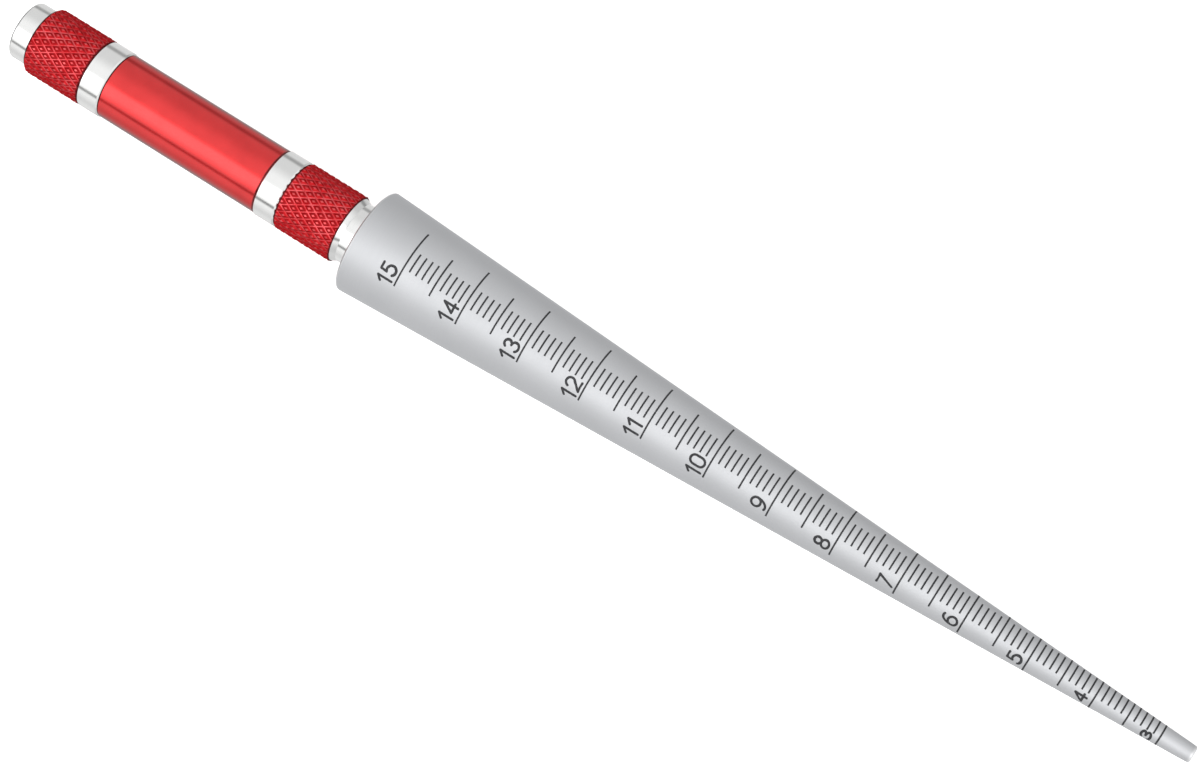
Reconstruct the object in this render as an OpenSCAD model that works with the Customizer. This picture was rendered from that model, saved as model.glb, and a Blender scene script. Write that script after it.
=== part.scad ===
// Tapered ring mandrel with a scale of hole diameters and a turned, knurled handle.
// The tool lies along X. The origin is the centre of the tail face, and +X runs to the tip.
// The handle is a stack of sleeves and rings, clamped between the cone and the tail cap
// by a tie rod that screws into both.

/* [Cone] */
// Smallest diameter marked on the cone
scale_min_d = 3; // [3:0.5:5]
// Largest diameter marked on the cone
scale_max_d = 15; // [14:1:20]
// Length of cone over which its diameter grows by 1 mm
taper_run = 10; // [8:0.5:12]
// Plain length between the smallest mark and the tip
tip_run = 5; // [3:0.5:7]
// Plain length between the largest mark and the rim
rim_run = 8; // [5:0.5:12]
// Radius on the rim's edge
rim_round = 0.4; // [0.2:0.1:0.8]
// Chamfer round the flat tip
tip_chamfer = 0.2; // [0.1:0.05:0.4]

/* [Handle] */
// Length of the collar's neck, between the cone and the front sleeve
collar_len = 3; // [2.5:0.5:5]
// Diameter of the collar's neck
collar_d = 9.2; // [8.8:0.1:9.6]
// Length of the slope where the collar widens to meet the front sleeve
collar_slope = 0.8; // [0.4:0.1:1.2]
// Length of each knurled sleeve
sleeve_len = 9.5; // [9.5:0.5:14]
// Diameter over the crests of the knurl
sleeve_d = 10.5; // [10.4:0.1:12]
// Length of each plain ring
ring_len = 3.5; // [2:0.5:6]
// Diameter of the plain rings
ring_d = 10.4; // [10.4:0.1:12]
// Length of the smooth barrel
barrel_len = 27; // [15:1:40]
// Diameter of the smooth barrel
barrel_d = 10.1; // [9.8:0.1:11]
// Length of the tail cap that shows
cap_len = 3; // [2.5:0.5:5]
// Diameter of the tail cap
cap_d = 8.9; // [8.6:0.1:9.6]
// Chamfer on the ends of the sleeves, rings and barrel
edge = 0.2; // [0.1:0.05:0.25]
// Chamfer on the rear end of the rear sleeve
tail_chamfer = 0.45; // [0.3:0.05:0.6]
// Radius on the edge of the tail face
tail_round = 0.35; // [0.2:0.05:0.5]

/* [Tie rod and joints] */
// Diameter of the tie rod, over its threads
rod_d = 5; // [4.5:0.1:5.2]
// Pitch of the threads at the rod's ends
thread_pitch = 0.8; // [0.7:0.1:0.8]
// Turns of thread in the cone
cone_turns = 13; // [8:1:16]
// Turns of thread in the tail cap
cap_turns = 7; // [6:1:7]
// Diameter of the spigots that centre each piece in the next
spigot_d = 7.4; // [7:0.1:7.6]
// Length of those spigots
spigot_len = 1.5; // [1:0.1:1.6]
// Thickness of the spring washer's metal
washer_t = 0.4; // [0.3:0.05:0.5]
// Rise of the spring washer from rim to bore
washer_rise = 0.2; // [0.1:0.05:0.3]

/* [Hidden] */

$fn = 96;
steel = [0.76, 0.77, 0.78];
bright = [0.90, 0.90, 0.91];
red = [0.80, 0.10, 0.13];
dark_steel = [0.45, 0.46, 0.48];

// Radial clearances: sliding on the rod, and spigot in socket
rod_gap = 0.05;
spigot_gap = 0.02;
// Room left past the end of a spigot or rod
end_gap = 0.2;

// Stations along the handle, from the tail face to the cone's rim
sleeve_rear_x = cap_len;
ring_rear_x = sleeve_rear_x + sleeve_len;
barrel_x = ring_rear_x + ring_len;
ring_front_x = barrel_x + barrel_len;
sleeve_front_x = ring_front_x + ring_len;
collar_x = sleeve_front_x + sleeve_len;
rim_x = collar_x + collar_len;
cone_len = tip_run + (scale_max_d - scale_min_d) * taper_run + rim_run;
tip_x = rim_x + cone_len;
tip_d = scale_min_d - tip_run / taper_run;
rim_d = scale_max_d + rim_run / taper_run;
taper_deg = atan((rim_d - tip_d) / 2 / cone_len);

// Thread: one ridge each pitch, with a crest that is 0.56 pitch above its root
thread_depth = 0.56 * thread_pitch;
thread_root_d = rod_d - 2 * thread_depth;
socket_depth = spigot_len + end_gap;
cone_thread_x = rim_x + socket_depth + end_gap;
rod_front_x = cone_thread_x + cone_turns * thread_pitch;
cap_thread_x = 2 * thread_pitch;
cap_mouth_x = cap_thread_x + (cap_turns + 1) * thread_pitch;
rod_lead = 0.4;
drill_point = 0.6;

// The tail cap's stem reaches the washer, which bears on a web inside the rear sleeve
stem_d = spigot_d - 0.4;
stem_gap = 0.05;
web_x = cap_mouth_x + washer_t + washer_rise;
washer_d = stem_d - 0.2;

// Revolves a half outline of [radius, x] points round the X axis
module turned(outline) {
    rotate([0, 90, 0]) rotate_extrude() polygon(outline);
}

// A plain cylinder along X from x0 to x1
module shaft(d, x0, x1) {
    translate([x0, 0, 0]) rotate([0, 90, 0]) cylinder(d = d, h = x1 - x0);
}

// Outline points of a thread, from root to crest and back, starting at a root
function thread_points(x0, half_turns, gap) =
    [for (i = [0 : half_turns])
        [(i % 2 == 0 ? thread_root_d : rod_d) / 2 + gap, x0 + i * thread_pitch / 2]];

// A round outline corner: centre, radius, and the angles it starts and ends at
function corner_points(cr, cx, r, a0, a1, steps = 6) =
    [for (i = [0 : steps])
        let (a = a0 + (a1 - a0) * i / steps) [cr + r * cos(a), cx + r * sin(a)]];

// A tube from x0 to x1 with chamfered ends
module sleeve_blank(d, x0, x1, rear_edge, front_edge) {
    turned([[0, x0], [d / 2 - rear_edge, x0], [d / 2, x0 + rear_edge],
            [d / 2, x1 - front_edge], [d / 2 - front_edge, x1], [0, x1]]);
}

// The hole for a spigot, opening at x_mouth and running depth towards +X, or -X if negative
module spigot_socket(x_mouth, depth) {
    over = 0.01 * sign(depth);
    x0 = min(x_mouth - over, x_mouth + depth);
    x1 = max(x_mouth - over, x_mouth + depth);
    shaft(spigot_d + 2 * spigot_gap, x0, x1);
}

module mandrel_cone() {
    // The rounding's end, where it meets the cone tangentially
    round_r = rim_d / 2 - rim_round;
    round_x = rim_x + rim_round;
    color(steel) difference() {
        turned(concat([[0, rim_x]],
                      corner_points(round_r, round_x, rim_round, -90, taper_deg),
                      [[tip_d / 2 + tip_chamfer * tan(taper_deg), tip_x - tip_chamfer],
                       [tip_d / 2 - tip_chamfer, tip_x], [0, tip_x]]));
        spigot_socket(rim_x, socket_depth);
        // Blind threaded hole for the tie rod, with a drill point
        turned(concat([[0, rim_x + socket_depth - 0.01],
                       [thread_root_d / 2 + rod_gap, rim_x + socket_depth - 0.01]],
                      thread_points(cone_thread_x, 2 * cone_turns + 2, rod_gap),
                      [[0, rod_front_x + thread_pitch + drill_point + rod_d / 4]]));
    }
}

module tie_rod() {
    rear_x = cap_thread_x;
    shank_x = cap_thread_x + (2 * cap_turns + 3) * thread_pitch / 2;
    color(dark_steel) turned(concat(
        [[0, rear_x - rod_lead + 0.1], [thread_root_d / 2 - 0.2, rear_x - rod_lead + 0.1]],
        thread_points(rear_x, 2 * cap_turns + 2, 0),
        [[rod_d / 2, shank_x], [rod_d / 2, cone_thread_x - thread_pitch / 2]],
        thread_points(cone_thread_x, 2 * cone_turns, 0),
        [[thread_root_d / 2 - 0.2, rod_front_x + rod_lead], [0, rod_front_x + rod_lead]]));
}

module front_collar() {
    wide_d = ring_d - 2 * edge;
    color(bright) difference() {
        union() {
            turned([[0, collar_x], [wide_d / 2, collar_x],
                    [collar_d / 2, collar_x + collar_slope],
                    [collar_d / 2, rim_x], [0, rim_x]]);
            shaft(spigot_d, collar_x - spigot_len, collar_x + 0.5);
            shaft(spigot_d, rim_x - 0.5, rim_x + spigot_len);
        }
        shaft(rod_d + 2 * rod_gap, collar_x - spigot_len - 1, rim_x + spigot_len + 1);
    }
}

module front_knurled_sleeve() {
    color(red) difference() {
        sleeve_blank(sleeve_d, sleeve_front_x, collar_x, 1.5 * edge, edge);
        shaft(rod_d + 2 * rod_gap, sleeve_front_x - 1, collar_x + 1);
        spigot_socket(sleeve_front_x, socket_depth);
        spigot_socket(collar_x, -socket_depth);
    }
}

// A plain ring at x0 with a spigot on each side
module spigot_ring(x0) {
    difference() {
        union() {
            sleeve_blank(ring_d, x0, x0 + ring_len, edge, edge);
            shaft(spigot_d, x0 - spigot_len, x0 + ring_len + spigot_len);
        }
        shaft(rod_d + 2 * rod_gap, x0 - spigot_len - 1, x0 + ring_len + spigot_len + 1);
    }
}

module front_ring() {
    color(bright) spigot_ring(ring_front_x);
}

module barrel() {
    color(red) difference() {
        sleeve_blank(barrel_d, barrel_x, ring_front_x, edge, edge);
        shaft(spigot_d + 2 * spigot_gap, barrel_x - 1, ring_front_x + 1);
    }
}

module rear_ring() {
    color(bright) spigot_ring(ring_rear_x);
}

module rear_knurled_sleeve() {
    color(red) difference() {
        sleeve_blank(sleeve_d, sleeve_rear_x, ring_rear_x, tail_chamfer, edge);
        shaft(rod_d + 2 * rod_gap, sleeve_rear_x - 1, ring_rear_x + 1);
        shaft(stem_d + 2 * stem_gap, sleeve_rear_x - 1, web_x);
        spigot_socket(ring_rear_x, -socket_depth);
    }
}

// A coned disc whose rim bears on the cap's stem and whose bore edge bears on the web
module spring_washer() {
    inner_r = rod_d / 2 + 2 * rod_gap;
    color(dark_steel) turned([
        [inner_r, web_x - washer_t], [inner_r, web_x],
        [washer_d / 2, web_x - washer_rise], [washer_d / 2, cap_mouth_x]]);
}

module tail_cap() {
    color(bright) difference() {
        union() {
            turned(concat([[0, 0]],
                          corner_points(cap_d / 2 - tail_round, tail_round, tail_round, -90, 0),
                          [[cap_d / 2, cap_len], [0, cap_len]]));
            shaft(stem_d, cap_len - 0.5, cap_mouth_x);
        }
        // Blind threaded hole for the tie rod
        turned(concat([[0, cap_thread_x - thread_pitch / 2],
                       [thread_root_d / 2 + rod_gap, cap_thread_x - thread_pitch / 2]],
                      thread_points(cap_thread_x, 2 * cap_turns + 2, rod_gap),
                      [[thread_root_d / 2 + rod_gap, cap_mouth_x + 1], [0, cap_mouth_x + 1]]));
    }
}

mandrel_cone();
tie_rod();
front_collar();
front_knurled_sleeve();
front_ring();
barrel();
rear_ring();
rear_knurled_sleeve();
spring_washer();
tail_cap();
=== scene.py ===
import math

import bmesh
import bpy
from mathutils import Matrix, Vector
from mathutils.geometry import delaunay_2d_cdt, intersect_point_line


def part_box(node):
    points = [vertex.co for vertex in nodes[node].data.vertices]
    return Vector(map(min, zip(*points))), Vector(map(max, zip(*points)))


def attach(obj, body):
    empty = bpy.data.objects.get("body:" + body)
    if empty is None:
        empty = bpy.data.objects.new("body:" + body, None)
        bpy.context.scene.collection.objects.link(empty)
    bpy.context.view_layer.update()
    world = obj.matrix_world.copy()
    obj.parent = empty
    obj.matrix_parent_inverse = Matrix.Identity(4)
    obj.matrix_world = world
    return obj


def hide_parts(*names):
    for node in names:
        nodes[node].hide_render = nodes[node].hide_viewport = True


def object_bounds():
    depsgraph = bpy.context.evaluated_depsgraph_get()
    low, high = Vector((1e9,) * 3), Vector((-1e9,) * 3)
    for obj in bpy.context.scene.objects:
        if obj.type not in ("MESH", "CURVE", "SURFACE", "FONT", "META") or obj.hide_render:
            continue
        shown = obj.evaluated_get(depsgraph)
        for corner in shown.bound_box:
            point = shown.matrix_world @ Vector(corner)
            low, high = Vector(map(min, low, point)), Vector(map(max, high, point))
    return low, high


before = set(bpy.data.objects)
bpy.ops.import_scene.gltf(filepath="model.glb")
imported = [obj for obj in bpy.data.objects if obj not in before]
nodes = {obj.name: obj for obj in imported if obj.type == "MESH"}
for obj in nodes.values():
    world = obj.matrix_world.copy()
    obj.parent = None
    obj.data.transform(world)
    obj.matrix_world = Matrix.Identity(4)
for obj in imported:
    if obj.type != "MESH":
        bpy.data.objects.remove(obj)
cad_low, cad_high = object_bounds()

MM = 0.001

# ---------------------------------------------------------------- the view

VIEW_AZIMUTH = 33.12
VIEW_ELEVATION = 72.52
VIEW_DISTANCE = 408.3 * MM
VIEW_AIM = Vector((1.83, 0.23, 0.0)) * MM
LENS = 88.8
SENSOR = 36.0
NEAREST_SEEN = 0.01
FARTHEST_SEEN = 20.0


def add_camera():
    """Looks at the middle of the tool from above its side, with the tip at the lower right."""
    middle = (cad_low + cad_high) / 2
    azimuth = math.radians(VIEW_AZIMUTH)
    elevation = math.radians(VIEW_ELEVATION)
    back = Vector(
        (
            math.sin(azimuth) * math.cos(elevation),
            -math.cos(azimuth) * math.cos(elevation),
            math.sin(elevation),
        )
    )
    data = bpy.data.cameras.new("camera")
    data.lens = LENS
    data.sensor_width = SENSOR
    data.clip_start = NEAREST_SEEN
    data.clip_end = FARTHEST_SEEN
    camera = bpy.data.objects.new("camera", data)
    camera.location = middle + VIEW_AIM + back * VIEW_DISTANCE
    camera.rotation_mode = "QUATERNION"
    camera.rotation_quaternion = (-back).to_track_quat("-Z", "Y")
    bpy.context.scene.collection.objects.link(camera)
    bpy.context.scene.camera = camera


# ---------------------------------------------------------------- node helpers


def feed(tree, socket, value):
    """Gives a socket a fixed value, or links another node's output to it."""
    if isinstance(value, bpy.types.NodeSocket):
        tree.links.new(value, socket)
    else:
        socket.default_value = value


def calc(tree, operation, first, second=0.0, clamp=False):
    node = tree.nodes.new("ShaderNodeMath")
    node.operation = operation
    node.use_clamp = clamp
    feed(tree, node.inputs[0], first)
    feed(tree, node.inputs[1], second)
    return node.outputs[0]


def remap(tree, value, low, high, to_low=0.0, to_high=1.0, smooth=False):
    node = tree.nodes.new("ShaderNodeMapRange")
    node.interpolation_type = "SMOOTHSTEP" if smooth else "LINEAR"
    feed(tree, node.inputs["Value"], value)
    node.inputs["From Min"].default_value = low
    node.inputs["From Max"].default_value = high
    node.inputs["To Min"].default_value = to_low
    node.inputs["To Max"].default_value = to_high
    return node.outputs["Result"]


def mix_colours(tree, factor, first, second):
    node = tree.nodes.new("ShaderNodeMix")
    node.data_type = "RGBA"
    feed(tree, node.inputs[0], factor)
    feed(tree, node.inputs[6], first)
    feed(tree, node.inputs[7], second)
    return node.outputs[2]


def noise(tree, vector, scale, detail=2.0, roughness=0.5, distortion=0.0):
    node = tree.nodes.new("ShaderNodeTexNoise")
    feed(tree, node.inputs["Vector"], vector)
    node.inputs["Scale"].default_value = scale
    node.inputs["Detail"].default_value = detail
    node.inputs["Roughness"].default_value = roughness
    node.inputs["Distortion"].default_value = distortion
    return node.outputs["Fac"]


def vector_of(tree, x, y, z):
    node = tree.nodes.new("ShaderNodeCombineXYZ")
    feed(tree, node.inputs[0], x)
    feed(tree, node.inputs[1], y)
    feed(tree, node.inputs[2], z)
    return node.outputs[0]


def bump(tree, height, micrometres, under=None):
    node = tree.nodes.new("ShaderNodeBump")
    node.inputs["Strength"].default_value = 1.0
    node.inputs["Distance"].default_value = micrometres * 1e-6
    feed(tree, node.inputs["Height"], height)
    if under is not None:
        tree.links.new(under, node.inputs["Normal"])
    return node.outputs["Normal"]


def new_material(name):
    material = bpy.data.materials.new(name)
    material.use_nodes = True
    tree = material.node_tree
    shader = tree.nodes["Principled BSDF"]
    return material, tree, shader


def turned_coordinates(tree):
    """Place on the tool in millimetres: the point, the distance along the axis, and from it."""
    place = tree.nodes.new("ShaderNodeTexCoord")
    scale = tree.nodes.new("ShaderNodeVectorMath")
    scale.operation = "SCALE"
    tree.links.new(place.outputs["Object"], scale.inputs[0])
    scale.inputs["Scale"].default_value = 1.0 / MM
    split = tree.nodes.new("ShaderNodeSeparateXYZ")
    tree.links.new(scale.outputs[0], split.inputs[0])
    across = vector_of(tree, 0.0, split.outputs[1], split.outputs[2])
    length = tree.nodes.new("ShaderNodeVectorMath")
    length.operation = "LENGTH"
    tree.links.new(across, length.inputs[0])
    return {
        "point": scale.outputs[0],
        "along": split.outputs[0],
        "radius": length.outputs["Value"],
        "turn": calc(tree, "ARCTAN2", split.outputs[1], split.outputs[2]),
    }


def turning_marks(tree, spot, per_mm, wander=0.6):
    """Rings left by a lathe tool: fine along the axis, and on a face out from its centre."""
    feed_line = calc(tree, "ADD", spot["along"], spot["radius"])
    across = calc(tree, "MULTIPLY", feed_line, per_mm)
    around = calc(tree, "MULTIPLY", calc(tree, "SINE", spot["turn"]), wander)
    return noise(tree, vector_of(tree, across, around, 0.0), 1.0, detail=3.0, roughness=0.6)


# ---------------------------------------------------------------- materials

CHROME_DARK = (0.645, 0.654, 0.671, 1.0)
CHROME_PALE = (0.695, 0.703, 0.720, 1.0)
# Paler colour for the cone's end edges: a painted highlight on their rounding.
CHROME_EDGE_HIGHLIGHT = (0.92, 0.925, 0.93, 1.0)
ALUMINIUM_DARK = (0.88, 0.885, 0.88, 1.0)
ALUMINIUM_PALE = (0.935, 0.935, 0.925, 1.0)
RED_DEEP = (0.80, 0.024, 0.026, 1.0)
RED = (0.87, 0.030, 0.032, 1.0)
# Pale pink for the knurl's crests: a painted highlight.
RED_CREST_HIGHLIGHT = (0.90, 0.16, 0.17, 1.0)
# Painted shade for the dark gaps at the end seams of the red parts.
RED_SEAM_SHADE = (0.16, 0.003, 0.006, 1.0)
RED_GRAZING = (0.06, 0.02, 0.02, 1.0)
# The knurl's flanks are painted darker as shade, and its grooves paler as a highlight.
SHADED_FLANK_DEEP = (0.48, 0.004, 0.009, 1.0)
SHADED_FLANK_PALE = (0.64, 0.007, 0.013, 1.0)
GROOVE_HIGHLIGHT_DEEP = (0.76, 0.078, 0.090, 1.0)
GROOVE_HIGHLIGHT_PALE = (0.88, 0.135, 0.150, 1.0)
KNURL_GRAZING = (0.08, 0.01, 0.01, 1.0)
STEEL_OILY = (0.40, 0.40, 0.41, 1.0)
STEEL_DRY = (0.58, 0.575, 0.56, 1.0)
INK_DARK = (0.010, 0.010, 0.012, 1.0)
INK_PALE = (0.026, 0.027, 0.030, 1.0)
FLOOR_DARK = (0.90, 0.90, 0.90, 1.0)
FLOOR_PALE = (0.92, 0.92, 0.92, 1.0)
FLOOR_GLOW = 0.55
WHITE = (1.0, 1.0, 1.0, 1.0)


def satin_chrome(rim_x, tip_x):
    """Matt plating: a very fine blasted grain over faint grinding rings, with a painted highlight at the
    ends.
    """
    material, tree, shader = new_material("satin_chrome")
    spot = turned_coordinates(tree)
    grain = noise(tree, spot["point"], 9.0, detail=3.0, roughness=0.65)
    cloud = noise(tree, spot["point"], 0.12, detail=3.0, roughness=0.5)
    rings = turning_marks(tree, spot, 5.0, wander=1.5)
    rim_edge = remap(tree, spot["along"], rim_x + 0.20, rim_x + 0.45, 1.0, 0.0, smooth=True)
    tip_edge = remap(tree, spot["along"], tip_x - 0.6, tip_x - 0.15, 0.0, 1.0, smooth=True)
    # Both ends are painted paler as a highlight on the edge rounding, and made a little smoother.
    highlight_mask = calc(tree, "MAXIMUM", rim_edge, tip_edge)
    tone = remap(tree, calc(tree, "ADD", grain, cloud), 0.6, 1.4)
    base = mix_colours(tree, tone, CHROME_DARK, CHROME_PALE)
    highlighted = mix_colours(tree, calc(tree, "MULTIPLY", highlight_mask, 0.8), base, CHROME_EDGE_HIGHLIGHT)
    feed(tree, shader.inputs["Base Color"], highlighted)
    shader.inputs["Metallic"].default_value = 1.0
    matt = remap(tree, calc(tree, "ADD", grain, rings), 0.6, 1.4, 0.56, 0.64)
    softened = calc(tree, "SUBTRACT", matt, calc(tree, "MULTIPLY", highlight_mask, 0.15))
    feed(tree, shader.inputs["Roughness"], softened)
    ring_relief = bump(tree, rings, 0.5)
    feed(tree, shader.inputs["Normal"], bump(tree, grain, 1.6, ring_relief))
    return material


def turned_aluminium():
    """Bright turned metal: fine feed rings, a little uneven in sheen, with a few handling marks."""
    material, tree, shader = new_material("turned_aluminium")
    spot = turned_coordinates(tree)
    rings = turning_marks(tree, spot, 11.0, wander=0.4)
    bands = turning_marks(tree, spot, 1.6, wander=0.3)
    smear = noise(tree, spot["point"], 0.45, detail=3.0, roughness=0.55)
    base = mix_colours(tree, bands, ALUMINIUM_DARK, ALUMINIUM_PALE)
    feed(tree, shader.inputs["Base Color"], base)
    shader.inputs["Metallic"].default_value = 1.0
    sheen = remap(tree, calc(tree, "ADD", rings, smear), 0.6, 1.4, 0.09, 0.17)
    feed(tree, shader.inputs["Roughness"], sheen)
    feed(tree, shader.inputs["Normal"], bump(tree, rings, 0.35))
    return material


def red_barrel(rear_x, front_x):
    """Dyed, sealed aluminium over fine turning rings, with painted shade darkening the end seams."""
    material, tree, shader = new_material("red_anodised_turned")
    spot = turned_coordinates(tree)
    rings = turning_marks(tree, spot, 8.0, wander=0.5)
    cloud = noise(tree, spot["point"], 0.35, detail=3.0, roughness=0.5)
    # Painted shade: the chamfers at both ends are darkened to stand for the shadow in the seam gap.
    rear_edge = remap(tree, spot["along"], rear_x + 0.12, rear_x + 0.28, 1.0, 0.0, smooth=True)
    front_edge = remap(tree, spot["along"], front_x - 0.28, front_x - 0.12, 0.0, 1.0, smooth=True)
    edge = calc(tree, "MAXIMUM", rear_edge, front_edge)
    body = mix_colours(tree, remap(tree, cloud, 0.35, 0.65), RED_DEEP, RED)
    base = mix_colours(tree, calc(tree, "MULTIPLY", edge, 0.9), body, RED_SEAM_SHADE)
    feed(tree, shader.inputs["Base Color"], base)
    shader.inputs["Metallic"].default_value = 1.0
    sheen = remap(tree, calc(tree, "ADD", rings, cloud), 0.6, 1.4, 0.19, 0.26)
    feed(tree, shader.inputs["Roughness"], sheen)
    shader.inputs["Specular Tint"].default_value = RED_GRAZING
    shader.inputs["Coat Weight"].default_value = 0.85
    shader.inputs["Coat Roughness"].default_value = 0.10
    shader.inputs["Coat IOR"].default_value = 1.55
    feed(tree, shader.inputs["Normal"], bump(tree, rings, 0.3))
    return material


def red_knurl(name, low, high):
    """The same dye on a rolled knurl, matt on the flanks, with painted shade on the flanks and at the end
    seams and a painted highlight on the crests and in the grooves.
    """
    material, tree, shader = new_material(name)
    spot = turned_coordinates(tree)
    crest_radius = high.z / MM
    root_radius = (high.z - KNURL_DEPTH) / MM
    patch = noise(tree, spot["point"], 1.4, detail=3.0, roughness=0.6)
    grain = noise(tree, spot["point"], 14.0, detail=2.0, roughness=0.6)
    height = remap(tree, spot["radius"], root_radius, crest_radius)
    crest = remap(tree, height, 0.84, 0.97, smooth=True)
    groove = remap(tree, height, 0.03, 0.16, 1.0, 0.0, smooth=True)
    # Painted highlight: the crests are painted pale pink where a glossy highlight would sit.
    highlight_mask = calc(tree, "MULTIPLY", crest, remap(tree, patch, 0.3, 0.65, 0.25, 1.0))
    uneven = noise(tree, spot["point"], 0.55, detail=3.0, roughness=0.65)
    # Painted highlight in the flat grooves and painted shade on the flanks, as lit and shaded copies of
    # the dye.
    groove_highlight_mask = calc(tree, "MULTIPLY", groove, remap(tree, uneven, 0.40, 0.60, 0.25, 1.0, smooth=True))
    shaded_flank = mix_colours(tree, patch, SHADED_FLANK_DEEP, SHADED_FLANK_PALE)
    groove_highlight = mix_colours(tree, patch, GROOVE_HIGHLIGHT_DEEP, GROOVE_HIGHLIGHT_PALE)
    lower = mix_colours(tree, groove_highlight_mask, shaded_flank, groove_highlight)
    highlighted = mix_colours(tree, calc(tree, "MULTIPLY", highlight_mask, 0.8), lower, RED_CREST_HIGHLIGHT)
    # Painted shade at both end seams, weaker on the raised parts.
    rear_edge = remap(tree, spot["along"], low.x / MM + 0.12, low.x / MM + 0.36, 1.0, 0.0, smooth=True)
    front_edge = remap(tree, spot["along"], high.x / MM - 0.36, high.x / MM - 0.12, 0.0, 1.0, smooth=True)
    sunk = remap(tree, height, 0.45, 0.95, 1.0, 0.35, smooth=True)
    seam_shade = calc(tree, "MULTIPLY", calc(tree, "MAXIMUM", rear_edge, front_edge), sunk)
    feed(tree, shader.inputs["Base Color"], mix_colours(tree, seam_shade, highlighted, RED_SEAM_SHADE))
    shader.inputs["Metallic"].default_value = 1.0
    smooth_parts = calc(tree, "MAXIMUM", crest, groove)
    matt = remap(tree, smooth_parts, 0.0, 1.0, 0.56, 0.36)
    feed(tree, shader.inputs["Roughness"], matt)
    shader.inputs["Specular Tint"].default_value = KNURL_GRAZING
    shader.inputs["Coat Weight"].default_value = 0.30
    shader.inputs["Coat Roughness"].default_value = 0.18
    shader.inputs["Coat IOR"].default_value = 1.45
    feed(tree, shader.inputs["Normal"], bump(tree, grain, 1.2))
    return material


def machined_steel():
    """Bare steel: cutting rings and a thin film of oil, darker in patches."""
    material, tree, shader = new_material("machined_steel")
    spot = turned_coordinates(tree)
    rings = turning_marks(tree, spot, 9.0, wander=0.8)
    film = noise(tree, spot["point"], 0.9, detail=3.0, roughness=0.6)
    base = mix_colours(tree, film, STEEL_OILY, STEEL_DRY)
    feed(tree, shader.inputs["Base Color"], base)
    shader.inputs["Metallic"].default_value = 1.0
    feed(tree, shader.inputs["Roughness"], remap(tree, rings, 0.3, 0.7, 0.26, 0.42))
    feed(tree, shader.inputs["Normal"], bump(tree, rings, 0.8))
    return material


def scale_ink():
    """Dark fill in the marked lines, slightly uneven in tone."""
    material, tree, shader = new_material("scale_ink")
    spot = turned_coordinates(tree)
    speck = noise(tree, spot["point"], 12.0, detail=3.0, roughness=0.7)
    patch = noise(tree, spot["point"], 0.8, detail=2.0, roughness=0.5)
    tone = remap(tree, calc(tree, "ADD", speck, patch), 0.7, 1.3)
    base = mix_colours(tree, tone, INK_DARK, INK_PALE)
    feed(tree, shader.inputs["Base Color"], base)
    feed(tree, shader.inputs["Roughness"], remap(tree, speck, 0.3, 0.7, 0.45, 0.65))
    feed(tree, shader.inputs["Normal"], bump(tree, speck, 2.0))
    return material


def pale_floor():
    """A matt, almost white sheet that glows a little, so that it stays pale where no light falls."""
    material, tree, shader = new_material("pale_floor")
    place = tree.nodes.new("ShaderNodeTexCoord")
    cloud = noise(tree, place.outputs["Object"], 6.0, detail=2.0)
    base = mix_colours(tree, cloud, FLOOR_DARK, FLOOR_PALE)
    feed(tree, shader.inputs["Base Color"], base)
    shader.inputs["Roughness"].default_value = 0.9
    shader.inputs["Specular IOR Level"].default_value = 0.0
    shader.inputs["Emission Color"].default_value = WHITE
    shader.inputs["Emission Strength"].default_value = FLOOR_GLOW
    return material


# ---------------------------------------------------------------- turned shapes

SAME_POINT = 3e-6
SHARP_ANGLE = math.radians(24.0)
SEGMENTS = 256


def turned_outline(node):
    """A turned CAD node's half section, as (along, radius) points in order, and whether it is closed.

    An outline that is not closed runs from its tail end, and starts and ends on the axis. The CAD
    mesh has no vertex in the middle of a flat end, so one is added there."""
    points = []
    index_of = []
    mesh = nodes[node].data
    for vertex in mesh.vertices:
        along = vertex.co.x
        radius = math.hypot(vertex.co.y, vertex.co.z)
        for k, known in enumerate(points):
            if abs(known[0] - along) < SAME_POINT and abs(known[1] - radius) < SAME_POINT:
                index_of.append(k)
                break
        else:
            index_of.append(len(points))
            points.append((along, radius))
    linked = {k: set() for k in range(len(points))}
    for edge in mesh.edges:
        first = index_of[edge.vertices[0]]
        second = index_of[edge.vertices[1]]
        if first != second:
            linked[first].add(second)
            linked[second].add(first)
    ends = [k for k in linked if len(linked[k]) == 1]
    closed = not ends
    start = min(ends or linked, key=lambda k: points[k])
    order = [start]
    previous = None
    while True:
        onward = [k for k in sorted(linked[order[-1]]) if k != previous and k != start]
        if not onward:
            break
        previous = order[-1]
        order.append(onward[0])
    if len(order) != len(points):
        raise RuntimeError(f"{node} has an outline in more than one piece")
    outline = [points[k] for k in order]
    if not closed:
        if outline[0][1] > SAME_POINT:
            outline.insert(0, (outline[0][0], 0.0))
        if outline[-1][1] > SAME_POINT:
            outline.append((outline[-1][0], 0.0))
    return outline, closed


def ring_of(work, along, radius, count, offset=0.0):
    """One ring of vertices round the X axis, or a single one where the radius is nothing."""
    if radius < SAME_POINT:
        return [work.verts.new((along, 0.0, 0.0))]
    made = []
    for k in range(count):
        turn = 2.0 * math.pi * k / count + offset
        made.append(work.verts.new((along, -radius * math.sin(turn), radius * math.cos(turn))))
    return made


def bridge(work, first, second):
    """Faces between two rings with the same number of vertices, or between a ring and a point."""
    count = max(len(first), len(second))
    for k in range(count):
        following = (k + 1) % count
        if len(first) == 1:
            work.faces.new((first[0], second[following], second[k]))
        elif len(second) == 1:
            work.faces.new((first[k], first[following], second[0]))
        else:
            work.faces.new((first[k], first[following], second[following], second[k]))


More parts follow.
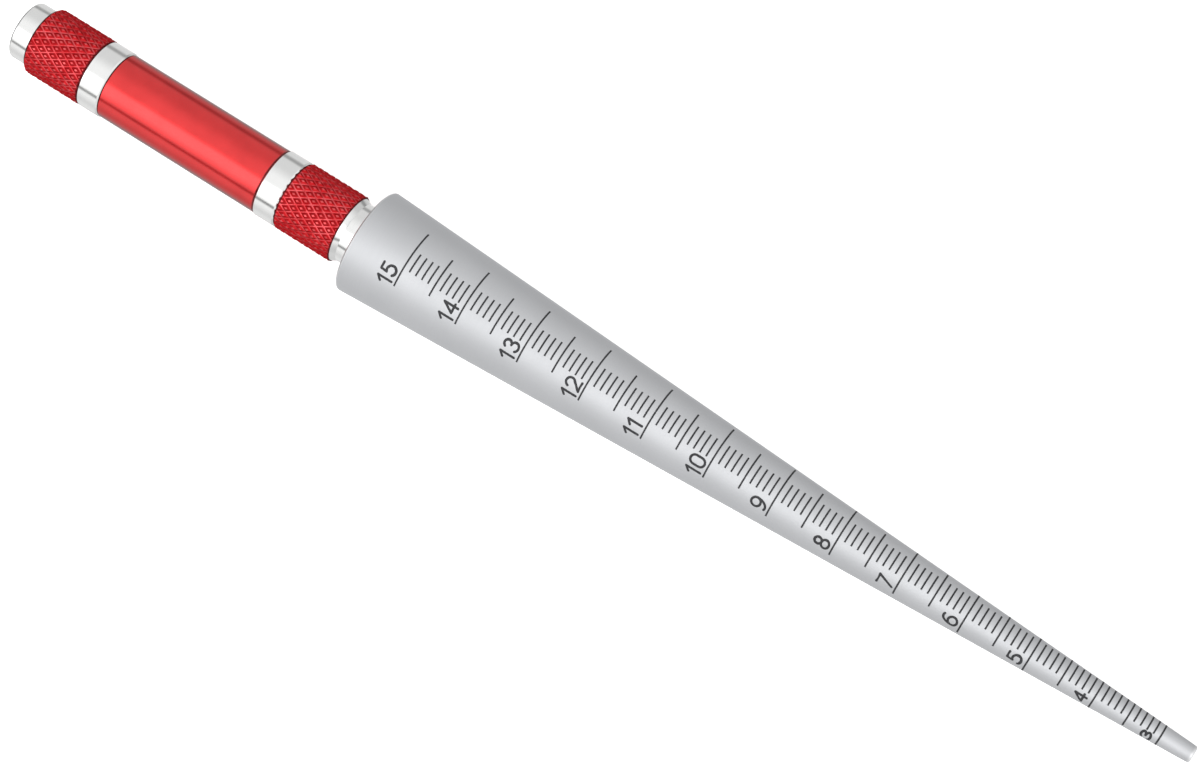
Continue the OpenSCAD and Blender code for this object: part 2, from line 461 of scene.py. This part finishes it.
def finished_piece(name, work, material, replaced=None, sharp=SHARP_ANGLE):
    """Turns the working mesh into a piece that rides on the tool."""
    bmesh.ops.recalc_face_normals(work, faces=work.faces)
    for face in work.faces:
        face.smooth = True
    for edge in work.edges:
        edge.smooth = edge.calc_face_angle(0.0) < sharp
    mesh = bpy.data.meshes.new(name)
    work.to_mesh(mesh)
    work.free()
    mesh.materials.append(material)
    piece = bpy.data.objects.new(name, mesh)
    bpy.context.scene.collection.objects.link(piece)
    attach(piece, "root")
    if replaced:
        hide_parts(replaced)
    return piece


def turned_piece(name, node, material):
    """The CAD node's own outline, turned again with enough segments to be round at any zoom."""
    outline, closed = turned_outline(node)
    work = bmesh.new()
    rings = [ring_of(work, along, radius, SEGMENTS) for along, radius in outline]
    for k in range(len(rings) - 1):
        bridge(work, rings[k], rings[k + 1])
    if closed:
        bridge(work, rings[-1], rings[0])
    return finished_piece(name, work, material, node)


# ---------------------------------------------------------------- knurled sleeves

KNURL_STARTS = 28
KNURL_PERIOD = 2.0 * MM
KNURL_DEPTH = 0.23 * MM
KNURL_STEPS = 12
GROOVE_FLAT = 2.0 / KNURL_STEPS
CREST_FLAT = 9.0 / KNURL_STEPS
KNURL_SHARP = math.radians(18.0)
OUTSIDE_DEPTH = 0.6 * MM

# Where the pattern starts on each sleeve, in rows along it and steps round it, and its turn.
FRONT_KNURL_ROW = 53
FRONT_KNURL_STEP = 0
FRONT_CREST_TURN = math.radians(8.2)
REAR_KNURL_ROW = 40
REAR_KNURL_STEP = 1
REAR_KNURL_TURN = 0.05


def knurl_height(turn_step, row):
    """How far the surface rises out of the two crossing grooves, from 0 in one to 1 on a crest."""
    rises = []
    for across in (turn_step + row, turn_step - row):
        phase = (across / (2.0 * KNURL_STEPS)) % 1.0
        away = 1.0 - 2.0 * abs(phase - 0.5)
        rise = (away - GROOVE_FLAT) / (CREST_FLAT - GROOVE_FLAT)
        rises.append(min(1.0, max(0.0, rise)))
    return min(rises)


def knurled_piece(name, node, material, first_row, first_step, offset):
    """A sleeve whose outside is a mesh laid along the two helices, so that its edges are the knurl's."""
    outline = turned_outline(node)[0]
    low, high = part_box(node)
    crest = high.z
    root = crest - KNURL_DEPTH
    outer = sorted(point for point in outline if point[1] > crest - OUTSIDE_DEPTH)
    inner_start = outline.index(outer[-1])
    if outline[(inner_start + 1) % len(outline)] in outer:
        outline.reverse()
        inner_start = outline.index(outer[-1])
    inner = []
    for k in range(1, len(outline)):
        point = outline[(inner_start + k) % len(outline)]
        if point not in outer:
            inner.append(point)
    row_gap = KNURL_PERIOD / (2 * KNURL_STEPS)
    rows = 2 * round((high.x - low.x) / row_gap / 2.0)
    steps = KNURL_STARTS * 2 * KNURL_STEPS
    work = bmesh.new()
    grid = {}
    for row in range(rows + 1):
        along = low.x + (high.x - low.x) * row / rows
        limit = crest
        for before, after in zip(outer, outer[1:]):
            if before[0] <= along <= after[0]:
                share = (along - before[0]) / (after[0] - before[0])
                limit = before[1] + (after[1] - before[1]) * share
        for step in range(row % 2, steps, 2):
            rise = knurl_height(step - first_step, row - first_row)
            radius = min(limit, root + KNURL_DEPTH * rise)
            turn = 2.0 * math.pi * step / steps + offset
            place = (along, -radius * math.sin(turn), radius * math.cos(turn))
            grid[step, row] = work.verts.new(place)
    for row in range(rows - 1):
        for step in range(row % 2, steps, 2):
            right = (step + 1) % steps
            left = (step - 1) % steps
            corners = (grid[step, row], grid[right, row + 1], grid[step, row + 2], grid[left, row + 1])
            work.faces.new(corners)
    for end, next_row in ((0, 1), (rows, rows - 1)):
        for step in range(end % 2, steps, 2):
            between = grid[(step + 1) % steps, next_row]
            work.faces.new((grid[step, end], grid[(step + 2) % steps, end], between))
    front = [grid[step, rows] for step in range(0, steps, 2)]
    rear = [grid[step, 0] for step in range(0, steps, 2)]
    rings = [front]
    rings += [ring_of(work, along, radius, steps // 2, offset) for along, radius in inner]
    rings.append(rear)
    for k in range(len(rings) - 1):
        bridge(work, rings[k], rings[k + 1])
    return finished_piece(name, work, material, node, KNURL_SHARP)


# ---------------------------------------------------------------- the scale

NEAR_SIDE = math.radians(14.8)
INK_RISE = 0.012 * MM
INK_SINK = 0.030 * MM
LINE_WIDTH = 0.25 * MM
SMALLEST_MARK = 3
LARGEST_MARK = 15
LONG_LINE = (-5.80, 3.45)
MIDDLE_LINE = (-4.20, 1.95)
SHORT_LINE_SMALL_END = (-2.65, 0.40)
SHORT_LINE_LARGE_END = (-2.35, 0.59)
DIGIT_HEIGHT = 2.17 * MM
DIGIT_STROKE = 0.36 * MM
DIGIT_BASE = 0.56 * MM
DIGIT_GAP = 0.76 * MM
TWO_DIGITS_START = 3.93 * MM
ONE_DIGIT_START = 3.07 * MM
FULL_SIZE_NUMBER = 7
ARC_STEP = math.radians(3.0)
SAME_CORNER = 0.0002 * MM

# How much lower, and closer to its line and to the short lines, a number gets on the thin end.
CROWDED_SHRINK = 0.024
CROWDED_DROP = 0.03 * MM
CROWDED_SHIFT = 0.25 * MM

# The rest is in digit heights: the grid of points under a digit, and how far its ink reaches.
GRID_STEP = 0.06
GRID_HEIGHT = 1.2
GRID_WIDTH = 0.84
GRID_LEFT = -0.1013
GRID_FOOT = -0.1021
MERGE_DISTANCE = 1e-5
INKED_REACH = 0.49
BESIDE_PEN = 1.25
SHORTEST_LINE = 1e-6
PEN_CORNERS = 16


class Taper:
    """The cone's straight side, read from its outline."""

    def __init__(self, outline):
        slope_start, slope_end = max(
            zip(outline, outline[1:]), key=lambda pair: pair[0][1] * abs(pair[1][0] - pair[0][0])
        )
        self.ends = sorted((slope_start, slope_end))

    def radius(self, along):
        (x0, r0), (x1, r1) = self.ends
        return r0 + (r1 - r0) * (along - x0) / (x1 - x0)

    def along(self, radius):
        (x0, r0), (x1, r1) = self.ends
        return x0 + (x1 - x0) * (radius - r0) / (r1 - r0)

    def point(self, along, arc, lift):
        """A point at an arc length round the cone from its near side, towards -Y, and above it."""
        radius = self.radius(along)
        turn = NEAR_SIDE + arc / radius
        outward = radius + lift
        return (along, -outward * math.sin(turn), outward * math.cos(turn))


def line_ends(tenths):
    """How far a mark reaches to either side of the near side, in metres round the cone."""
    if tenths % 10 == 0:
        reach = LONG_LINE
    elif tenths % 5 == 0:
        reach = MIDDLE_LINE
    else:
        share = (tenths / 10.0 - SMALLEST_MARK) / (LARGEST_MARK - SMALLEST_MARK)
        pairs = zip(SHORT_LINE_SMALL_END, SHORT_LINE_LARGE_END)
        reach = [small + (large - small) * share for small, large in pairs]
    return reach[0] * MM, reach[1] * MM


def add_marks(taper, material):
    """One line for each tenth of a millimetre of diameter, each a closed strip set in the surface."""
    work = bmesh.new()
    for tenths in range(SMALLEST_MARK * 10, LARGEST_MARK * 10 + 1):
        middle = taper.along(tenths / 20.0 * MM)
        start, end = line_ends(tenths)
        pieces = math.ceil((end - start) / taper.radius(middle) / ARC_STEP)
        loops = []
        for k in range(pieces + 1):
            arc = start + (end - start) * k / pieces
            loop = []
            for side, lift in ((-1, -INK_SINK), (1, -INK_SINK), (1, INK_RISE), (-1, INK_RISE)):
                along = middle + side * LINE_WIDTH / 2
                loop.append(work.verts.new(taper.point(along, arc, lift)))
            loops.append(loop)
        for before, after in zip(loops, loops[1:]):
            for k in range(4):
                other = (k + 1) % 4
                work.faces.new((before[k], before[other], after[other], after[k]))
        work.faces.new(loops[0])
        work.faces.new(loops[-1])
    return finished_piece("scale_lines", work, material)


def curve(centre_x, centre_y, radius_x, radius_y, start, end, pieces=16):
    """Points along part of an ellipse, between two angles in degrees."""
    made = []
    for k in range(pieces + 1):
        turn = math.radians(start + (end - start) * k / pieces)
        made.append((centre_x + radius_x * math.cos(turn), centre_y + radius_y * math.sin(turn)))
    return made


DIGIT_WIDTH = 0.62
ONE_WIDTH = 0.30


def digit_strokes(digit):
    """The digit's pen strokes, on a height of 1 and a width of 0.62."""
    middle = DIGIT_WIDTH / 2
    if digit == "0":
        top = curve(middle, 1.0 - middle, middle, middle, 0, 180)
        return [top + curve(middle, middle, middle, middle, 180, 360) + top[:1]]
    if digit == "1":
        return [[(0.0, 0.74), (ONE_WIDTH, 1.0), (ONE_WIDTH, 0.0)]]
    if digit == "2":
        return [curve(middle, 0.70, 0.30, 0.30, 165, -35) + [(0.0, 0.0), (DIGIT_WIDTH, 0.0)]]
    if digit == "3":
        upper = curve(0.30, 0.76, 0.27, 0.24, 155, -90)
        return [upper + curve(0.30, 0.26, 0.31, 0.26, 90, -155)]
    if digit == "4":
        return [[(0.46, 0.0), (0.46, 1.0), (0.0, 0.28), (DIGIT_WIDTH, 0.28)]]
    if digit == "5":
        bowl = curve(0.29, 0.325, 0.33, 0.325, 128, -150)
        return [[(0.56, 1.0), (0.12, 1.0)] + bowl]
    if digit in "69":
        bowl = curve(middle, 0.31, middle, 0.31, 0, 360, 28)
        tail = curve(0.42, 0.33, 0.42, 0.67, 180, 72)
        strokes = [bowl, tail]
        if digit == "9":
            strokes = [[(DIGIT_WIDTH - x, 1.0 - y) for x, y in stroke] for stroke in strokes]
        return strokes
    if digit == "7":
        return [[(0.0, 1.0), (DIGIT_WIDTH, 1.0), (0.20, 0.0)]]
    if digit == "8":
        upper = curve(middle, 0.76, 0.25, 0.24, 0, 360, 24)
        return [upper, curve(middle, 0.26, 0.31, 0.26, 0, 360, 28)]
    raise ValueError(f"no strokes for {digit!r}")


def pen_lines(strokes):
    """The straight pieces that make up the strokes, as pairs of ends."""
    lines = []
    for stroke in strokes:
        for start, end in zip(stroke, stroke[1:]):
            if math.dist(start, end) > SHORTEST_LINE:
                lines.append((Vector(start), Vector(end)))
    return lines


def pen_shapes(lines, pen):
    """Small overlapping shapes that a round pen of this width covers along the lines."""
    shapes = []
    last_turn = 360.0 - 360.0 / PEN_CORNERS
    for start, end in lines:
        run = end - start
        side = Vector((-run.y, run.x)).normalized() * pen / 2
        shapes.append([start - side, end - side, end + side, start + side])
        for x, y in (start, end):
            corners = curve(x, y, pen / 2, pen / 2, 0, last_turn, PEN_CORNERS - 1)
            shapes.append([Vector(corner) for corner in corners])
    return shapes


def is_inked(spot, lines, pen):
    """Whether a round pen of this width covers the spot on its way along the lines."""
    for start, end in lines:
        nearest, share = intersect_point_line(spot, start, end)
        nearest = start.lerp(end, min(1.0, max(0.0, share)))
        if (spot - nearest).length < INKED_REACH * pen:
            return True
    return False


def add_digits(taper, material):
    """The whole numbers, tops towards the handle, each a closed shape set in the surface.

    The smallest numbers are lower and closer to the short lines, to stay on the thin end."""
    work = bmesh.new()
    for number in range(SMALLEST_MARK, LARGEST_MARK + 1):
        text = str(number)
        line = taper.along(number / 2.0 * MM)
        crowding = max(0, FULL_SIZE_NUMBER - number)
        share = 1.0 - CROWDED_SHRINK * crowding**2
        base = line - DIGIT_BASE - CROWDED_DROP * crowding**2
        start = TWO_DIGITS_START if len(text) == 2 else ONE_DIGIT_START - CROWDED_SHIFT * crowding
        left = start - DIGIT_STROKE / 2
        for digit in text:
            strokes = [[(x, y * share) for x, y in stroke] for stroke in digit_strokes(digit)]
            add_digit(work, taper, pen_lines(strokes), base, left)
            width = ONE_WIDTH if digit == "1" else DIGIT_WIDTH
            left -= width * DIGIT_HEIGHT + DIGIT_GAP
    bmesh.ops.remove_doubles(work, verts=work.verts, dist=SAME_CORNER)
    return finished_piece("scale_numbers", work, material)


def touching_points(triangles):
    """The points where a shape made of triangles touches itself without sharing an edge."""
    edges = set()
    for triangle in triangles:
        for k in range(3):
            edges.add((triangle[k], triangle[(k + 1) % 3]))
    leaving = {}
    for start, end in edges:
        if (end, start) not in edges:
            leaving[start] = leaving.get(start, 0) + 1
    return {point for point, count in leaving.items() if count > 1}


def add_digit(work, taper, lines, base, left):
    """Merges the shapes a digit's strokes cover into one, and bends it round the cone.

    Where the merged shape would touch itself at a point only, the slivers beside that point are
    filled as well, so that the finished shape has no edge shared by more than two faces."""
    pen = DIGIT_STROKE / DIGIT_HEIGHT
    points = []
    loops = []
    for shape in pen_shapes(lines, pen):
        loops.append(list(range(len(points), len(points) + len(shape))))
        points += shape
    inside_rows = round(GRID_HEIGHT / GRID_STEP)
    inside_columns = round(GRID_WIDTH / GRID_STEP)
    for row in range(inside_rows + 1):
        for column in range(inside_columns + 1):
            points.append(Vector((column * GRID_STEP + GRID_LEFT, row * GRID_STEP + GRID_FOOT)))
    divided = delaunay_2d_cdt(points, [], loops, 0, MERGE_DISTANCE, False)
    flat = divided[0]
    faces = divided[2]
    triangles = []
    beside = []
    for face in faces:
        centre = sum((flat[k] for k in face), Vector((0.0, 0.0))) / 3
        if is_inked(centre, lines, pen):
            triangles.append(face)
        elif is_inked(centre, lines, BESIDE_PEN * pen):
            beside.append(face)
    while True:
        pinched = touching_points(triangles)
        filling = [face for face in beside if pinched.intersection(face)]
        if not filling:
            break
        triangles += filling
        beside = [face for face in beside if face not in filling]
    upper = {}
    lower = {}
    uses = {}
    for triangle in triangles:
        for k in range(3):
            edge = (triangle[k], triangle[(k + 1) % 3])
            uses[edge] = uses.get(edge, 0) + 1
            for made, lift in ((upper, INK_RISE), (lower, -INK_SINK)):
                if edge[0] not in made:
                    place = flat[edge[0]]
                    along = base - place.y * DIGIT_HEIGHT
                    arc = left - place.x * DIGIT_HEIGHT
                    made[edge[0]] = work.verts.new(taper.point(along, arc, lift))
    for triangle in triangles:
        work.faces.new([upper[k] for k in triangle])
        work.faces.new([lower[k] for k in reversed(triangle)])
    for start, end in uses:
        if (end, start) not in uses:
            work.faces.new((upper[start], upper[end], lower[end], lower[start]))


# ---------------------------------------------------------------- the studio

# Brightness of the surroundings by angle round the tool, from straight up towards -Y, in degrees.
# Each light or gap comes in between its first two angles, and goes out between its last two.
SURROUND_LIGHT = 0.72
CEILING_SPAN = (-45, 0, 92, 130)
CEILING_LIGHT = 0.26
SOFT_BOX_SPAN = (20, 34, 50, 82)
SOFT_BOX_LIGHT = 1.07
FLOOR_SPAN = (125, 150, 158, 180)
FLOOR_LIGHT = 0.09
NEAR_GAP_SPAN = (79, 83.5, 87, 94)
NEAR_GAP_SHADE = 0.72
FAR_GAP_SPAN = (-107, -90, -87, -76)
FAR_GAP_SHADE = 0.53

# How the surroundings change along the tool, by how far a direction points along the axis: from -1,
# straight towards the tail, to 1, straight towards the tip.
TIP_TURN = 16.0
TIP_TURN_RANGE = (-0.27, 0.05)
TIP_FADE = 0.85
TIP_FADE_RANGE = (-0.22, 0.12)
FADE_END_RANGE = (0.30, 0.50)
ENDS_RANGE = (0.50, 0.92)
END_CHANGE_RANGE = (-0.1, 0.1)
TAIL_LIGHT = 0.26
TIP_LIGHT = 0.95


def band(tree, angle, span, strength):
    """A light or gap of this strength that comes in and goes out softly between four angles."""
    coming = remap(tree, angle, span[0], span[1], 0.0, strength, smooth=True)
    going = remap(tree, angle, span[2], span[3], 1.0, 0.0, smooth=True)
    return calc(tree, "MULTIPLY", coming, going)


def light_around(tree, angle):
    """The ceiling, a soft box above the near side, the floor's glow, and a dark gap on each side."""
    light = calc(tree, "ADD", SURROUND_LIGHT, band(tree, angle, CEILING_SPAN, CEILING_LIGHT))
    light = calc(tree, "ADD", light, band(tree, angle, SOFT_BOX_SPAN, SOFT_BOX_LIGHT))
    from_top = calc(tree, "ABSOLUTE", angle)
    light = calc(tree, "ADD", light, band(tree, from_top, FLOOR_SPAN, FLOOR_LIGHT))
    for span, shade in ((NEAR_GAP_SPAN, NEAR_GAP_SHADE), (FAR_GAP_SPAN, FAR_GAP_SHADE)):
        kept = calc(tree, "SUBTRACT", 1.0, band(tree, angle, span, shade))
        light = calc(tree, "MULTIPLY", light, kept)
    return light


def add_world():
    """Soft studio surroundings that vary round the tool, and plain white behind it."""
    world = bpy.data.worlds.new("studio")
    world.use_nodes = True
    tree = world.node_tree
    tree.nodes.clear()
    place = tree.nodes.new("ShaderNodeTexCoord")
    split = tree.nodes.new("ShaderNodeSeparateXYZ")
    tree.links.new(place.outputs["Generated"], split.inputs[0])
    endward = split.outputs[0]
    leftward = calc(tree, "MULTIPLY", split.outputs[1], -1.0)
    upright = calc(tree, "ARCTAN2", leftward, split.outputs[2])
    degrees = calc(tree, "MULTIPLY", upright, math.degrees(1.0))
    turned = calc(tree, "ADD", degrees, remap(tree, endward, *TIP_TURN_RANGE, 0.0, TIP_TURN))
    dimmed = remap(tree, endward, *TIP_FADE_RANGE, 1.0, TIP_FADE)
    restored = remap(tree, endward, *FADE_END_RANGE)
    fading = calc(tree, "MAXIMUM", dimmed, restored)
    around = calc(tree, "MULTIPLY", light_around(tree, turned), fading)
    to_ends = remap(tree, calc(tree, "ABSOLUTE", endward), *ENDS_RANGE, smooth=True)
    end_light = remap(tree, endward, *END_CHANGE_RANGE, TAIL_LIGHT, TIP_LIGHT)
    shade = mix_colours(tree, to_ends, around, end_light)
    lit = tree.nodes.new("ShaderNodeBackground")
    tree.links.new(shade, lit.inputs["Color"])
    plain = tree.nodes.new("ShaderNodeBackground")
    plain.inputs["Color"].default_value = WHITE
    seen = tree.nodes.new("ShaderNodeLightPath")
    choice = tree.nodes.new("ShaderNodeMixShader")
    tree.links.new(seen.outputs["Is Camera Ray"], choice.inputs[0])
    tree.links.new(lit.outputs[0], choice.inputs[1])
    tree.links.new(plain.outputs[0], choice.inputs[2])
    output = tree.nodes.new("ShaderNodeOutputWorld")
    tree.links.new(choice.outputs[0], output.inputs["Surface"])
    bpy.context.scene.world = world


KEY_LENGTH = 1.2
KEY_WIDTH = 0.7
KEY_ENERGY = 4.0
KEY_TURN = math.radians(42.0)
KEY_DISTANCE = 1.1
FLOOR_REACH = 2.0


def add_key_light():
    """A soft box above the near side, which gives the floor its light and a faint shadow."""
    data = bpy.data.lights.new("soft_box", "AREA")
    data.shape = "RECTANGLE"
    data.size = KEY_LENGTH
    data.size_y = KEY_WIDTH
    data.energy = KEY_ENERGY
    light = bpy.data.objects.new("soft_box", data)
    middle = (cad_low + cad_high) / 2
    outward = Vector((0.0, -math.sin(KEY_TURN), math.cos(KEY_TURN)))
    light.location = middle + outward * KEY_DISTANCE
    light.rotation_mode = "QUATERNION"
    light.rotation_quaternion = outward.to_track_quat("Z", "X")
    light.visible_camera = False
    light.visible_glossy = False
    bpy.context.scene.collection.objects.link(light)


def add_floor(taper):
    """A plain pale floor that the cone lies on along its lowest line."""
    (x0, r0), (x1, r1) = taper.ends
    along = Vector((x1 - x0, 0.0, r0 - r1)).normalized()
    across = Vector((0.0, 1.0, 0.0))
    contact = Vector((x0, 0.0, -r0))
    mesh = bpy.data.meshes.new("floor")
    corners = []
    for u, v in ((-1, -1), (1, -1), (1, 1), (-1, 1)):
        corners.append(contact + along * FLOOR_REACH * u + across * FLOOR_REACH * v)
    mesh.from_pydata(corners, [], [(0, 1, 2, 3)])
    mesh.materials.append(pale_floor())
    floor = bpy.data.objects.new("floor", mesh)
    floor.visible_glossy = False
    bpy.context.scene.collection.objects.link(floor)


# ---------------------------------------------------------------- the tool


def build_tool():
    cone_low, cone_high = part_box("mandrel_cone")
    chrome = satin_chrome(cone_low.x / MM, cone_high.x / MM)
    aluminium = turned_aluminium()
    steel = machined_steel()
    ink = scale_ink()

    turned_piece("cone_turned", "mandrel_cone", chrome)
    turned_piece("collar_turned", "front_collar", aluminium)
    turned_piece("ring_turned_front", "front_ring", aluminium)
    turned_piece("ring_turned_rear", "rear_ring", aluminium)
    turned_piece("cap_turned", "tail_cap", aluminium)

    barrel_low, barrel_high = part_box("barrel")
    red = red_barrel(barrel_low.x / MM, barrel_high.x / MM)
    turned_piece("barrel_turned", "barrel", red)

    steps = KNURL_STARTS * 2 * KNURL_STEPS
    front_turn = NEAR_SIDE - FRONT_CREST_TURN - 2.0 * math.pi * KNURL_STEPS / steps
    front_red = red_knurl("red_anodised_knurled_front", *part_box("front_knurled_sleeve"))
    rear_red = red_knurl("red_anodised_knurled_rear", *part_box("rear_knurled_sleeve"))
    front_start = (FRONT_KNURL_ROW, FRONT_KNURL_STEP, front_turn)
    rear_start = (REAR_KNURL_ROW, REAR_KNURL_STEP, REAR_KNURL_TURN)
    knurled_piece("sleeve_knurled_front", "front_knurled_sleeve", front_red, *front_start)
    knurled_piece("sleeve_knurled_rear", "rear_knurled_sleeve", rear_red, *rear_start)

    for node in ("tie_rod", "spring_washer"):
        nodes[node].data.materials.clear()
        nodes[node].data.materials.append(steel)

    taper = Taper(turned_outline("mandrel_cone")[0])
    add_marks(taper, ink)
    add_digits(taper, ink)
    add_floor(taper)


add_camera()
add_world()
add_key_light()
build_tool()
bpy.context.scene.view_settings.view_transform = "Standard"
bpy.context.scene.view_settings.look = "None"
